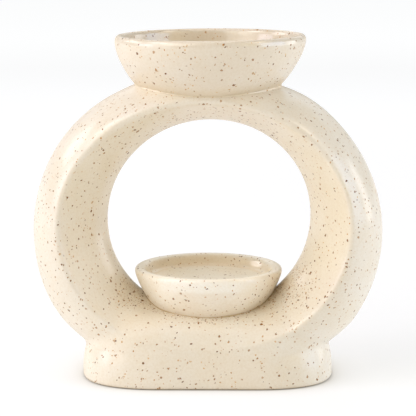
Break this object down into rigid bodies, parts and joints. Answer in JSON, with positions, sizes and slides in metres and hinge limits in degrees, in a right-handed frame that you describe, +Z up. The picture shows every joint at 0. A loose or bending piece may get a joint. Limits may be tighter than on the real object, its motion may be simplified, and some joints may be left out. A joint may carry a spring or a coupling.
{
  "type": "essential oil burner",
  "caption": "Oval stoneware ring on a rounded foot, with an open bowl for water and scented oil on top and a small saucer for a tealight at the bottom of the ring's hole.",
  "frame": {"origin": "centre of the foot's footprint, on the surface the burner stands on", "axes": "+Z up, +X to the viewer's right along the ring's width, Y along the hole through the ring (the viewer looks along +Y)"},
  "size_m": [0.1454, 0.0786, 0.1413],
  "materials": {
    "glazed_stoneware": "satin cream glaze with tan and brown specks",
    "slip": "satin cream glaze, warmer where it pools along the seam"
  },
  "bodies": {
    "root": {"ring_body": "glazed_stoneware", "oil_bowl": "glazed_stoneware", "tealight_dish": "glazed_stoneware", "bowl_slip_joint": "slip", "dish_slip_joint": "slip"}
  },
  "joints": []
}
